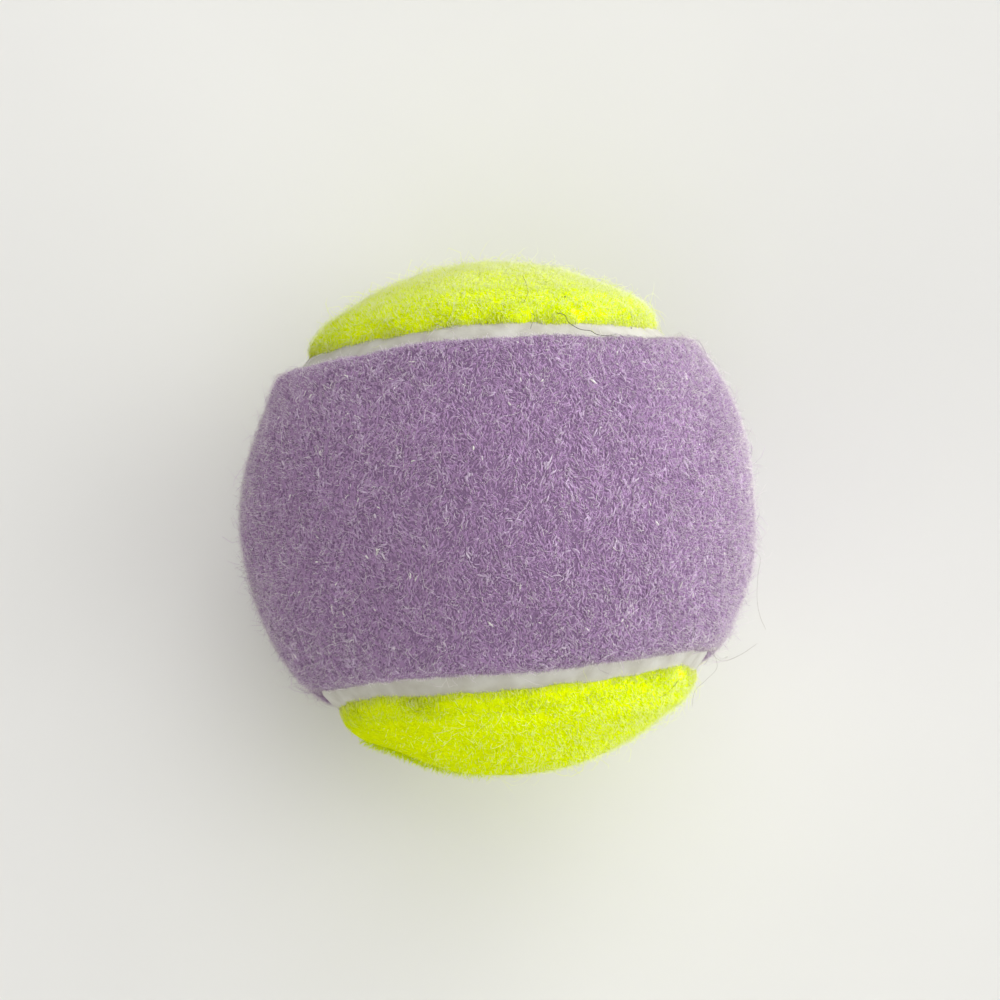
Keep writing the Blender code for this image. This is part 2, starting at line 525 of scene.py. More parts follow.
@dataclass(frozen=True)
class SeamLine:
    """The seam's centre line, one closed curve round the ball.

    Attributes:
        neck_width: a panel's narrow part, from seam to seam along the felt's face.
        lobe_swell: the share of the path that swings three times a turn.
        width: of the seam rubber.
        gap: between the rubber's side and the panel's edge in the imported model.
        strays: where it strays from the ideal line.
    """

    neck_width: float = 44.0 * MM
    lobe_swell: float = 0.305
    width: float = 2.1 * MM
    gap: float = 0.3 * MM
    strays: tuple[Stray, ...] = ()

    # A short way along the seam, in radians, to take its direction from.
    STEP = 1e-4
    # Points along the seam, to measure its length and to look for the nearest one.
    FINE = 4001
    COARSE = 480
    # How many places are compared with the seam at a time.
    BLOCK = 20000

    @property
    def half_neck(self) -> float:
        """Half the neck as an angle at the ball's centre."""
        return self.neck_width / BALL_RADIUS / 2

    @property
    def edge(self) -> float:
        """The distance of a panel's edge from the centre line."""
        return self.width / 2 + self.gap

    def turned(self) -> "SeamLine":
        """Give the seam as the yellow panel has it before it is turned."""
        return replace(self, strays=tuple(stray.turned() for stray in self.strays))

    def ideal(self, turns: np.ndarray) -> np.ndarray:
        """Find points on the ideal centre line.

        Args:
            turns: where along it, from 0 to a whole turn in radians.

        Returns:
            Their directions from the ball's centre.
        """
        main = 1 - self.lobe_swell
        rise = (main - self.lobe_swell) / math.tan(self.half_neck)
        along_x = main * np.cos(turns) - self.lobe_swell * np.cos(3 * turns)
        along_y = main * np.sin(turns) + self.lobe_swell * np.sin(3 * turns)
        return unit(np.stack([along_x, along_y, -rise * np.cos(2 * turns)], axis=-1))

    def directions(self, turns: np.ndarray) -> np.ndarray:
        """Find points on the centre line as it was laid.

        Args:
            turns: where along it, from 0 to a whole turn in radians.

        Returns:
            Their directions from the ball's centre.
        """
        line = self.ideal(turns)
        side = unit(np.cross(line, self.ideal(turns + self.STEP) - line))
        shift = np.zeros(np.shape(turns))
        for stray in self.strays:
            away = (turns - stray.turn + math.pi) % math.tau - math.pi
            shift += stray.shift * np.exp(-((away / stray.reach) ** 2))
        return unit(line + side * (shift / BALL_RADIUS)[..., None])

    def across(self, turns: np.ndarray) -> np.ndarray:
        """Find the directions across the seam, from its centre into the purple panel.

        Args:
            turns: where along it.

        Returns:
            A unit vector for each.
        """
        ahead = self.directions(turns + self.STEP) - self.directions(turns - self.STEP)
        return unit(np.cross(self.directions(turns), ahead))

    def even_turns(self, count: int) -> np.ndarray:
        """Place points evenly along the seam.

        Args:
            count: how many points.

        Returns:
            Their turns.
        """
        fine = np.linspace(0.0, math.tau, self.FINE)
        line = self.directions(fine)
        steps = np.linalg.norm(np.diff(line, axis=0), axis=1)
        lengths = np.concatenate([[0.0], np.cumsum(steps)])
        return np.interp(np.arange(count) / count * lengths[-1], lengths, fine)

    def beside(self, turns: np.ndarray, inset: float | np.ndarray, radius: float) -> np.ndarray:
        """Find points beside the seam.

        Args:
            turns: where along the seam.
            inset: how far into the purple panel, along the sphere of that radius.
            radius: the distance from the ball's centre.

        Returns:
            The points.
        """
        angle = np.full(len(turns), inset / radius)[:, None]
        return (np.cos(angle) * self.directions(turns) + np.sin(angle) * self.across(turns)) * radius

    def nearest(self, directions: np.ndarray) -> tuple[np.ndarray, np.ndarray]:
        """Measure how far points lie from the seam.

        Args:
            directions: unit vectors from the ball's centre, one row each.

        Returns:
            The distance along the ball's face, positive on the purple side, and the
            direction across the seam at the nearest place.
        """
        turns = self.even_turns(self.COARSE)
        line = self.directions(turns).astype(np.float32)
        found = np.empty(len(directions), np.int64)
        for start in range(0, len(directions), self.BLOCK):
            part = directions[start:start + self.BLOCK].astype(np.float32)
            found[start:start + self.BLOCK] = np.argmax(part @ line.T, axis=1)
        sideways = self.across(turns)[found]
        reach = np.einsum("ij,ij->i", directions, sideways)
        return np.arcsin(np.clip(reach, -1, 1)) * BALL_RADIUS, sideways


class Waves:
    """Gentle unevenness over the whole ball, as a sum of waves in space."""

    def __init__(self, seed: int, lengths: Span, height: float, count: int = 24) -> None:
        """Draw the waves.

        Args:
            seed: of the random draw.
            lengths: the shortest and the longest wave.
            height: how far most of it strays from the mean.
            count: how many waves are added up.
        """
        draw = np.random.default_rng(seed)
        shortest, longest = lengths
        length = shortest * (longest / shortest) ** draw.random(count)
        self.ways = unit(draw.normal(size=(count, 3))) * (math.tau / length)[:, None]
        self.starts = draw.random(count) * math.tau
        self.height = height * math.sqrt(2 / count)

    def at(self, points: np.ndarray) -> np.ndarray:
        """Add up the waves.

        Args:
            points: where, one row each.

        Returns:
            The height at each point.
        """
        total = np.zeros(len(points))
        for way, start in zip(self.ways, self.starts):
            total += np.sin(points @ way + start)
        return total * self.height


@dataclass
class FeltPanel:
    """The dense ground of one felt panel: a shell with rolled edges.

    Attributes:
        felt: which panel it is.
        finish: its finish.
        seam: the seam that bounds it.
        edge_round: radius of the rolled edge.
        swell: how far the felt stands proud beside the rolled edge.
        swell_place: distance of the proudest part from the seam's centre.
        swell_reach: how far the swelling reaches to each side.
        spread: how far its edge spreads over the seam rubber, on the mean.
        trims: where its edge is cut back.
        bumps: where its face stands higher or lower.
        slow_height: how uneven its face is over a centimetre or two.
        quick_height: how uneven its face is over some millimetres.
        hem_height: how uneven its edge is.
        sink: how far the ground lies under the mean height of the nap.
        steps: facets once round the panel.
        rows: rows of facets from the edge to the middle of its face.
        back_rings: rings of vertices from the middle of its back to the edge.
        edge_rows: rows in the rolled edge.
        seed: of its unevenness.
    """

    felt: Felt
    finish: FeltFinish
    seam: SeamLine
    edge_round: float = 1.7 * MM
    swell: float = 0.35 * MM
    swell_place: float = 4.2 * MM
    swell_reach: float = 2.2 * MM
    spread: float = 0.10 * MM
    trims: tuple[Trim, ...] = ()
    bumps: tuple[Bump, ...] = ()
    slow_height: float = 0.10 * MM
    quick_height: float = 0.035 * MM
    hem_height: float = 0.14 * MM
    sink: float = 0.32 * MM
    steps: int = 420
    rows: int = 44
    back_rings: int = 9
    edge_rows: int = 9
    seed: int = 11

    # The shortest and longest waves of its slow, quick and edge unevenness.
    SLOW = (9 * MM, 26 * MM)
    QUICK = (1.3 * MM, 4 * MM)
    HEM = (4 * MM, 18 * MM)
    # How strongly the rows of facets crowd toward the edge.
    CROWDING = 1.4
    # Rings laid over the panel to measure its area.
    FLAT_RINGS = 24

    def __post_init__(self) -> None:
        """Read the felt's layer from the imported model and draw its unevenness."""
        self.node = f"{self.felt.value}_felt_panel"
        self.inner, self.outer = node_radii("purple_felt_panel")
        self.channel = self.outer - node_radii("seam_ribbon")[1]
        self.slow = Waves(self.seed, self.SLOW, self.slow_height)
        self.quick = Waves(self.seed + 1, self.QUICK, self.quick_height, 48)
        self.hem = Waves(self.seed + 2, self.HEM, self.hem_height)

    def edge_at(self, points: np.ndarray) -> np.ndarray:
        """Find the panel's uneven edge.

        Args:
            points: where, one row each.

        Returns:
            The edge's distance from the seam's centre there.
        """
        edge = self.seam.edge - self.spread + self.hem.at(points)
        for trim in self.trims:
            place = self.seam.directions(np.array([trim.turn]))[0] * self.outer
            away = np.linalg.norm(points - place, axis=-1)
            edge += trim.depth * np.exp(-((away / trim.reach) ** 2))
        return edge

    def rise(self, points: np.ndarray, distance: np.ndarray) -> np.ndarray:
        """Give the ground's rise above its plain sphere.

        Args:
            points: where, one row each.
            distance: from the seam's centre.

        Returns:
            The rise.
        """
        swelling = self.swell * np.exp(-(((distance - self.swell_place) / self.swell_reach) ** 2))
        fade = np.clip((distance - self.edge_at(points)) / self.edge_round, 0, 1)
        fade = fade ** 2 * (3 - 2 * fade)
        uneven = self.slow.at(points) + self.quick.at(points)
        for bump in self.bumps:
            place = self.felt.place(unit(np.array(bump.way))) * self.outer
            away = np.linalg.norm(points - place, axis=-1)
            uneven += bump.height * np.exp(-((away / bump.reach) ** 2))
        return (swelling + uneven) * fade - self.sink

    def edge_share(self, points: np.ndarray, distance: np.ndarray) -> np.ndarray:
        """Tell how far out on the rolled edge a place lies, from 0 on the face to 1."""
        return np.clip((self.edge_at(points) + self.edge_round - distance) / self.edge_round, 0, 1)

    def drop(self, points: np.ndarray, distance: np.ndarray) -> np.ndarray:
        """Give how far the rolled edge drops below the face, down to the seam rubber."""
        roll = self.edge_round * (1 - np.sqrt(1 - self.edge_share(points, distance) ** 2))
        return np.minimum(roll, self.channel)

    def spine(self) -> np.ndarray:
        """Find the panel's middle line, from one lobe's middle to the other's.

        Returns:
            Directions, one for each step and its mirrored one.
        """
        start = self.seam.half_neck - math.pi / 2 + math.pi / 4
        angle = np.linspace(start, math.pi - start, self.steps // 2 + 1)
        line = np.stack([np.cos(angle), np.zeros(len(angle)), np.sin(angle)], axis=-1)
        step = np.arange(self.steps)
        return line[np.minimum(step, self.steps - step)]

    def face(self, inset: float | np.ndarray, shares: np.ndarray, radius: float) -> np.ndarray:
        """Lay rings over a face of the panel, from its edge to its middle line.

        Args:
            inset: the first ring's distance from the seam's centre, one or one per step.
            shares: how far each ring lies on the way to the middle line.
            radius: the face's radius.

        Returns:
            Directions, one block for each ring.
        """
        edge = unit(self.seam.beside(self.seam.even_turns(self.steps), inset, radius))
        middle = self.spine()
        angle = np.arccos(np.clip(np.einsum("ij,ij->i", edge, middle), -1, 1))[None, :, None]
        part = shares[:, None, None]
        return (np.sin((1 - part) * angle) * edge + np.sin(part * angle) * middle) / np.sin(angle)

    def rings(self) -> np.ndarray:
        """Lay the whole shell, from the middle of its back to the middle of its face.

        Returns:
            Points, one block for each ring.
        """
        turns = self.seam.even_turns(self.steps)
        back = self.face(self.seam.edge, np.linspace(0, 1, self.back_rings), self.inner)[::-1] * self.inner
        edge = self.edge_at(self.seam.directions(turns) * self.outer)
        corner = []
        for angle in np.linspace(0, math.pi / 2, self.edge_rows, endpoint=False):
            inset = edge + self.edge_round * (1 - math.cos(angle))
            radius = self.outer - self.edge_round * (1 - math.sin(angle))
            ring = self.seam.beside(turns, inset, radius)
            corner.append(ring + unit(ring) * self.rise(ring, inset)[:, None])
        shares = np.linspace(0, 1, self.rows + 1) ** self.CROWDING
        front = self.face(edge + self.edge_round, shares, self.outer)
        flat = front.reshape(-1, 3)
        distance, _ = self.seam.nearest(flat)
        lift = self.rise(flat * self.outer, distance)
        front = (flat * (self.outer + lift)[:, None]).reshape(front.shape)
        return np.concatenate([back, np.array(corner), front])

    def build(self) -> Object:
        """Build the ground and dress it.

        Returns:
            The felt panel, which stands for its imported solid.
        """
        rings = self.rings()
        points = self.felt.place(rings.reshape(-1, 3))
        ground = mesh_object(f"{self.felt.value}_felt_ground", points, grid_quads(len(rings), self.steps))
        weld(ground)
        ground.data.materials.append(self.finish.ground_material(f"{self.felt.value} felt ground"))
        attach(ground, BODY)
        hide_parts(self.node)
        return ground

    def flat_cut(self) -> tuple[float, float, float]:
        """Measure the flat piece that the panel is cut from, half way through the felt.

        Returns:
            The cut's width across a lobe, its length along the spine and its area.
        """
        middle = (self.inner + self.outer) / 2
        line = self.seam.directions(self.seam.even_turns(self.steps))
        lobe = line[(line[:, 0] > 0) & (line[:, 2] < 0.5)]
        width = 2 * float(np.arcsin(np.abs(lobe[:, 1])).max()) * middle - 2 * self.seam.edge
        tip = self.seam.directions(np.zeros(1))[0]
        length = 2 * (math.pi / 2 + math.atan2(-tip[2], tip[0])) * middle - 2 * self.seam.edge
        rows = self.face(self.seam.edge, np.linspace(0, 1, self.FLAT_RINGS), middle) * middle
        low, high = rows[:-1], rows[1:]
        cells = np.cross(np.roll(low, -1, 1) - low, high - low)
        return width, length, float(np.linalg.norm(cells, axis=-1).sum())


@dataclass(frozen=True)
class FibreSort:
    """One kind of fibre in a nap, with its lengths and heights in millimetres.

    Attributes:
        count: how many of them stand on one panel.
        length: typical length.
        spread: how much the length varies, as the sigma of its logarithm.
        width: least and greatest diameter.
        turning: typical turning from end to end, in radians.
        heights: least and greatest height over the ground, at its root, half way
            along and at its end.
        shade: mean shade of the dye, from 0 to 1.
        overhang: how far most of them may reach past the panel's edge.
        at_edge: whether they stand on the rolled edge alone.
        outward: whether they stand on its outer part and reach out over the seam.
        ragged: whether a few of them stand far taller than the rest.
        patches: the middles of the patches that they stand in, or none for the whole panel.
    """

    count: int
    length: float
    spread: float
    width: Span
    turning: float
    heights: tuple[Span, Span, Span]
    shade: float = 0.5
    overhang: float = 0.15
    at_edge: bool = False
    outward: bool = False
    ragged: bool = False
    patches: tuple[Triple, ...] = ()


PURPLE_NAP = (
    FibreSort(
        count=62000, length=0.95, spread=0.35, width=(0.17, 0.29), turning=1.1,
        heights=((-0.15, -0.03), (-0.01, 0.07), (-0.15, 0.00))),
    FibreSort(
        count=16000, length=0.75, spread=0.30, width=(0.09, 0.14), turning=2.6,
        heights=((-0.12, -0.02), (0.04, 0.15), (-0.12, 0.02)), shade=0.58),
    FibreSort(
        count=9000, length=0.70, spread=0.30, width=(0.12, 0.20), turning=1.6,
        heights=((-0.12, 0.02), (0.02, 0.14), (-0.12, 0.10)), overhang=0.25, at_edge=True),
)
YELLOW_NAP = (
    FibreSort(
        count=62000, length=0.62, spread=0.35, width=(0.15, 0.25), turning=1.4,
        heights=((-0.06, -0.03), (0.00, 0.03), (-0.06, -0.02))),
    FibreSort(
        count=5000, length=0.65, spread=0.25, width=(0.08, 0.12), turning=2.8,
        heights=((-0.08, -0.02), (0.03, 0.09), (-0.08, 0.00)), shade=0.60),
    FibreSort(
        count=9000, length=0.60, spread=0.30, width=(0.10, 0.16), turning=1.6,
        heights=((-0.08, 0.02), (0.02, 0.12), (-0.08, 0.10)), overhang=0.30, at_edge=True),
    FibreSort(
        count=1400, length=0.80, spread=0.30, width=(0.05, 0.09), turning=2.8,
        heights=((-0.20, 0.00), (0.08, 0.78), (0.05, 1.50)), shade=0.40, patches=RIDGE),
)


def fuzz(laid: int, standing: int, fringe: float) -> tuple[FibreSort, ...]:
    """Mix the kinds of fibre that make a panel's fuzz.

    Args:
        laid: how many long fine fibres lie over the nap.
        standing: how many short ones stand up from it.
        fringe: the shade of those at its edge, which reach out over the seam.

    Returns:
        The kinds of fibre.
    """
    return (
        FibreSort(
            count=4000, length=1.1, spread=0.35, width=(0.030, 0.045), turning=1.3,
            heights=((-0.08, 0.00), (0.08, 0.25), (0.10, 0.40)), shade=0.3),
        FibreSort(
            count=laid, length=1.4, spread=0.40, width=(0.012, 0.020), turning=1.5,
            heights=((-0.05, 0.10), (0.15, 0.45), (0.25, 0.90)), shade=0.65),
        FibreSort(
            count=standing, length=0.20, spread=0.30, width=(0.028, 0.044), turning=1.4,
            heights=((-0.12, 0.00), (0.18, 0.38), (0.34, 0.74)), shade=0.95),
        FibreSort(
            count=22000, length=0.70, spread=0.35, width=(0.028, 0.048), turning=2.4,
            heights=((-0.10, 0.00), (0.20, 0.40), (0.20, 0.55)), shade=0.95, overhang=0.5, ragged=True),
        FibreSort(
            count=6000, length=0.9, spread=0.35, width=(0.022, 0.040), turning=1.5,
            heights=((-0.05, 0.05), (0.05, 0.20), (0.00, 0.30)), shade=0.7, overhang=0.8, at_edge=True),
        FibreSort(
            count=11000, length=0.8, spread=0.45, width=(0.040, 0.080), turning=1.8,
            heights=((-0.05, 0.05), (0.10, 0.36), (0.05, 0.60)), shade=fringe, overhang=0.8,
            at_edge=True, outward=True),
        FibreSort(
            count=500, length=2.2, spread=0.45, width=(0.022, 0.035), turning=1.8,
            heights=((0.00, 0.10), (0.25, 0.90), (0.50, 1.80)), shade=0.3, overhang=1.0),
    )


def draw_sizes(draw: np.random.Generator, span: Span, count: int) -> np.ndarray:
    """Draw sizes evenly between two given in millimetres."""
    return draw.uniform(span[0] * MM, span[1] * MM, size=count)


@dataclass
class Nap:
    """Fibres that stand on one felt panel.

    Attributes:
        panel: the ground that they stand on.
        name: what they are called.
        sorts: the kinds of fibre.
        pieces: how many objects they are shared among, in strips along the panel.
        stations: places along a fibre where its skin has a root, a ring or a tip.
        lay: the share that leans along the nap's lay, across the panel's neck.
        lay_spread: how far those stray from the lay, in radians.
        shade_spread: how much the dye differs from fibre to fibre, as a sigma.
        tuft_shade: the same from tuft to tuft; the same waves raise the tufts, so the higher tufts are
            paler: partly dye, partly painted shade on the lower tufts.
        tuft_height: how much the fibres' height differs from tuft to tuft.
        painted_glints: the share of fibres painted pale, as glinting highlights.
        free: whether they are the fuzz that stands free of the nap.
        fuzz_side: the side of the ball where the fuzz stands thickest.
        worn: how much more fuzz it has there than on the mean.
        painted_sheen: how much paler the fibres are painted toward +Y, as painted sheen of the lit fuzz
            there.
        seed: of the random draw.
    """

    panel: FeltPanel
    name: str
    sorts: tuple[FibreSort, ...]
    pieces: int = 8
    stations: tuple[float, ...] = (0.0, 0.33, 0.67, 1.0)
    lay: float = 0.8
    lay_spread: float = 0.45
    shade_spread: float = 0.06
    tuft_shade: float = 0.11
    tuft_height: float = 0.03 * MM
    painted_glints: float = 0.007
    free: bool = False
    fuzz_side: Triple = (0.0, 0.0, 0.0)
    worn: float = 0.0
    painted_sheen: float = 0.0
    seed: int = 5

    # The mesh attribute that carries a fibre's shade, and the facets round a fibre.
    SHADE = "fibre_shade"
    SIDES = 3
    # How strongly a fibre thins toward its ends.
    TAPER = 0.9
    # How far the fibres of a patch scatter, and how far the others keep from the edge.
    PATCH = 1.8 * MM
    KEPT = 0.1 * MM
    # Places along the seam for edge fibres, and how far in they stand, in edge radii.
    PLACES = 6000
    EDGE_BAND = 1.3
    OUTER_BAND = 0.5
    # The waves that turn the lay and that make the tufts, and how far the first turn it.
    SWIRL_WAVES = (2.5 * MM, 12 * MM)
    TUFT_WAVES = (0.9 * MM, 3 * MM)
    SWIRL = 0.55
    # The least turning of a fibre, and how far the outward ones stray, in radians.
    LEAST_TURNING = 0.05
    OUTWARD_SPREAD = 0.6
    # A ragged fibre's length, as this share and this much more with its height.
    RAGGED = (0.5, 0.7)
    # What is left of a fibre that would reach too far past the edge.
    SHORTENED = 0.4
    # How far fibres at the end of the rolled edge lean out, in radians.
    TILT = 1.1
    # The side painted paler as sheen, and where that painted sheen starts and over how much more it comes
    # in full.
    SHEEN_SIDE = (0.10, 0.99, 0.0)
    SHEEN_START = 0.70
    SHEEN_REACH = 0.22
    # How much paler a painted glinting fibre is, at least and at most more than that.
    PAINTED_GLINT = (0.2, 0.45)
    # The share of its shade that a free fibre has at its root.
    ROOT_SHADE = 0.62
    # The empty margin round a fibre's cell in the flat layout.
    MARGIN = 0.12
    # The part of the fibres that a quick try builds is one in so many.
    QUICK_PART = 8

    def __post_init__(self) -> None:
        """Draw the waves that turn the lay and that make the tufts."""
        self.swirl = Waves(self.seed + 1, self.SWIRL_WAVES, 1.0)
        self.tufts = Waves(self.seed + 2, self.TUFT_WAVES, 1.0, 40)

    def roots(self, draw: np.random.Generator, sort: FibreSort, count: int) -> np.ndarray:
        """Scatter roots over the panel, its patches or its rolled edge.

        Args:
            draw: the random draw.
            sort: the kind of fibre.
            count: how many.

        Returns:
            Their directions from the ball's centre.
        """
        panel, seam = self.panel, self.panel.seam
        if sort.patches:
            middles = panel.felt.place(unit(np.array(sort.patches)))
            stray = draw.normal(size=(count, 3)) * self.PATCH / panel.outer
            return unit(middles[draw.integers(len(middles), size=count)] + stray)
        if sort.at_edge:
            turns = seam.even_turns(self.PLACES)[draw.integers(self.PLACES, size=count)]
            edge = panel.edge_at(seam.directions(turns) * panel.outer)
            reach = (self.OUTER_BAND if sort.outward else self.EDGE_BAND) * panel.edge_round
            inset = edge + reach * (1 - np.cos(draw.random(count) * math.pi / 2))
            return unit(seam.beside(turns, inset, panel.outer))
        kept = np.empty((0, 3))
        side = panel.felt.place(np.array(self.fuzz_side))
        while len(kept) < count:
            tries = unit(draw.normal(size=(count, 3)))
            distance, _ = seam.nearest(tries)
            edge = panel.edge_at(tries * panel.outer)
            taken = draw.random(count) * (1 + self.worn) < 1 + self.worn * (tries @ side)
            kept = np.concatenate([kept, tries[taken & (distance > edge + self.KEPT)]])
        return kept[:count]

    def axes(self, roots: np.ndarray) -> tuple[np.ndarray, np.ndarray]:
        """Find the directions along the lay and across it, on the ball's face.

        Args:
            roots: where, as directions from the ball's centre.

        Returns:
            Unit vectors along the lay and across it.
        """
        first = unit(np.array([0.0, 1.0, 0.0]) - roots * roots[:, 1:2])
        return first, np.cross(roots, first)

    def headings(self, draw: np.random.Generator, sort: FibreSort, roots: np.ndarray,
                 turning: np.ndarray) -> np.ndarray:
        """Choose the way that each fibre sets out.

        Args:
            draw: the random draw.
            sort: the kind of fibre.
            roots: where they start.
            turning: from its start to its end, in radians.

        Returns:
            The heading at its start, in radians from the lay.
        """
        count = len(roots)
        along = draw.random(count) < (0 if sort.at_edge else self.lay)
        swirl = self.SWIRL * self.swirl.at(roots * self.panel.outer)
        laid = self.lay_spread * draw.normal(size=count) + math.pi * (draw.random(count) < 0.5)
        heading = np.where(along, laid + swirl, math.tau * draw.random(count))
        if sort.outward:
            _, sideways = self.panel.seam.nearest(roots)
            first, second = (-np.einsum("ij,ij->i", sideways, axis) for axis in self.axes(roots))
            heading = np.arctan2(second, first) + self.OUTWARD_SPREAD * draw.normal(size=count)
        return heading - turning / 2

    def lead(self, roots: np.ndarray, length: np.ndarray, turning: np.ndarray,
             heading: np.ndarray) -> tuple[np.ndarray, np.ndarray, np.ndarray]:
        """Bend each fibre evenly over the ball's face.

        Args:
            roots: where they start.
            length: of each fibre.
            turning: from its start to its end, in radians.
            heading: at its start, in radians from the lay.

        Returns:
            Directions of the stations, their distances from the seam and the
            directions across the seam there.
        """
        first, second = self.axes(roots)
        now = heading[:, None] + turning[:, None] * np.array(self.stations)
        scale = (length / turning)[:, None]
        ahead = scale * (np.sin(now) - np.sin(heading)[:, None])
        aside = -scale * (np.cos(now) - np.cos(heading)[:, None])
        shift = ahead[..., None] * first[:, None] + aside[..., None] * second[:, None]
        directions = unit(roots[:, None] * self.panel.outer + shift)
        distance, sideways = self.panel.seam.nearest(directions.reshape(-1, 3))
        return directions, distance.reshape(directions.shape[:2]), sideways.reshape(directions.shape)

    def paths(self, draw: np.random.Generator, sort: FibreSort, roots: np.ndarray) -> np.ndarray:
        """Lead fibres over the ground, and turn or shorten those that leave the panel too far.

        Args:
            draw: the random draw.
            sort: the kind of fibre.
            roots: where they start.

        Returns:
            The points at each fibre's stations.
        """
        count, places = len(roots), roots * self.panel.outer
        length = sort.length * MM * np.exp(sort.spread * draw.normal(size=count))
        turning = sort.turning * draw.normal(size=count)
        turning = np.where(np.abs(turning) < self.LEAST_TURNING, self.LEAST_TURNING, turning)
        heading = self.headings(draw, sort, roots, turning)
        ends = [draw_sizes(draw, span, count) for span in sort.heights]
        if sort.ragged:
            tall = draw.exponential(size=count)
            length = length * (self.RAGGED[0] + self.RAGGED[1] * tall)
            ends = [ends[0], ends[1] * tall, ends[2] * tall]
        ends[1] += self.tuft_height * self.tufts.at(places)

        limit = self.panel.edge_at(places) - sort.overhang * MM * draw.exponential(size=count)
        _, distance, _ = self.lead(roots, length, turning, heading)
        over = (distance.min(axis=1) < limit) & (not sort.outward)
        heading = np.where(over, heading + math.pi, heading)
        _, distance, _ = self.lead(roots, length, turning, heading)
        over = distance.min(axis=1) < limit
        length = np.where(over, self.SHORTENED * length, length)
        return self.lift(*self.lead(roots, length, turning, heading), ends)

    def lift(self, directions: np.ndarray, distance: np.ndarray, sideways: np.ndarray,
             ends: list[np.ndarray]) -> np.ndarray:
        """Stand fibres on the ground, leaning out where it rolls down to the seam.

        Args:
            directions: of the stations.
            distance: of the stations from the seam.
            sideways: directions across the seam there.
            ends: each fibre's height at its root, half way along and at its end.

        Returns:
            The points at each fibre's stations.
        """
        s = np.array(self.stations)
        first, middle, last = (end[:, None] for end in ends)
        height = first * 2 * (s - 0.5) * (s - 1) - middle * 4 * s * (s - 1) + last * 2 * s * (s - 0.5)
        flat = directions.reshape(-1, 3)
        reach = distance.reshape(-1)
        places = flat * self.panel.outer
        above = self.panel.rise(places, reach) - self.panel.drop(places, reach)
        tilt = self.TILT * self.panel.edge_share(places, reach)
        way = flat * np.cos(tilt)[:, None] - sideways.reshape(-1, 3) * np.sin(tilt)[:, None]
        points = flat * (self.panel.outer + above)[:, None] + way * height.reshape(-1)[:, None]
        return points.reshape(directions.shape)

    def skins(self, paths: np.ndarray, width: np.ndarray) -> np.ndarray:
        """Wrap a thin three-sided skin round each path.

        Args:
            paths: the points at each fibre's stations.
            width: each fibre's diameter.

        Returns:
            The vertices of each fibre: its root, its rings and its tip.
        """
        along = unit(paths[:, 2:] - paths[:, :-2])
        aside = unit(np.cross(along, unit(paths[:, 1:-1])))
        over = np.cross(aside, along)
        angle = math.tau * np.arange(self.SIDES) / self.SIDES + math.pi / 2
        cosine, sine = np.cos(angle)[:, None], np.sin(angle)[:, None]
        ring = over[:, :, None] * cosine + np.cross(along, over)[:, :, None] * sine
        taper = 1 - self.TAPER * np.abs(2 * np.array(self.stations[1:-1]) - 1) ** 3
        reach = (width / 2)[:, None] * taper
        rings = paths[:, 1:-1, None] + ring * reach[:, :, None, None]
        return np.concatenate([paths[:, :1], rings.reshape(len(paths), -1, 3), paths[:, -1:]], axis=1)

    def shades(self, draw: np.random.Generator, sort: FibreSort, roots: np.ndarray) -> np.ndarray:
        """Choose the shade of each fibre.

        Args:
            draw: the random draw.
            sort: the kind of fibre.
            roots: where they start.

        Returns:
            A shade of about 0 to 1 for each fibre.
        """
        count = len(roots)
        tuft = self.tufts.at(roots * self.panel.outer)
        # The tufts' waves also raise them, so the lower tufts are darker: partly dye, partly painted
        # shade.
        shade = sort.shade + self.shade_spread * draw.normal(size=count) + self.tuft_shade * tuft
        # Fibres toward +Y are painted paler here, as the sheen of lit fuzz.
        toward = roots @ self.panel.felt.place(unit(np.array(self.SHEEN_SIDE)))
        shade += self.painted_sheen * np.clip((toward - self.SHEEN_START) / self.SHEEN_REACH, 0, 1)
        # A few fibres are painted paler at random, as glinting highlights.
        painted_glint = draw.random(count) < self.painted_glints
        least, more = self.PAINTED_GLINT
        return np.where(painted_glint, shade + more * draw.random(count) + least, shade)

    def faces(self) -> tuple[np.ndarray, np.ndarray, np.ndarray]:
        """Index one fibre's faces and lay them out flat.

        Returns:
            Its four-sided faces, its three-sided faces, and the place of each of their
            corners in a cell of the flat layout.
        """
        rings, sides = len(self.stations) - 2, self.SIDES
        tip = 1 + rings * sides
        quads, tris, places = [], [], []
        for ring in range(rings - 1):
            for side in range(sides):
                after = (side + 1) % sides
                low, high = 1 + ring * sides, 1 + (ring + 1) * sides
                quads.append((low + side, low + after, high + after, high + side))
                near, far = self.stations[ring + 1], self.stations[ring + 2]
                places += [(near, side), (near, side + 1), (far, side + 1), (far, side)]
        first, last = self.stations[1], self.stations[-2]
        for side in range(sides):
            tris.append((0, 1 + (side + 1) % sides, 1 + side))
            places += [(0.0, side + 0.5), (first, side + 1), (first, side)]
        for side in range(sides):
            tris.append((tip, tip - sides + side, tip - sides + (side + 1) % sides))
            places += [(1.0, side + 0.5), (last, side), (last, side + 1)]
        return np.array(quads), np.array(tris), np.array(places) / (1.0, sides)

    def paling(self) -> np.ndarray:
        """Find how the shade grows along a fibre: a free one keeps its dye at the root and grows paler
        toward its tip, partly from wear and partly as painted sheen.

        Returns:
            Each vertex's share of the shade.
        """
        middle = np.repeat(self.stations[1:-1], self.SIDES)
        stations = np.concatenate([[0.0], middle, [1.0]])
        return self.ROOT_SHADE + (1 - self.ROOT_SHADE) * stations if self.free else np.ones(len(stations))

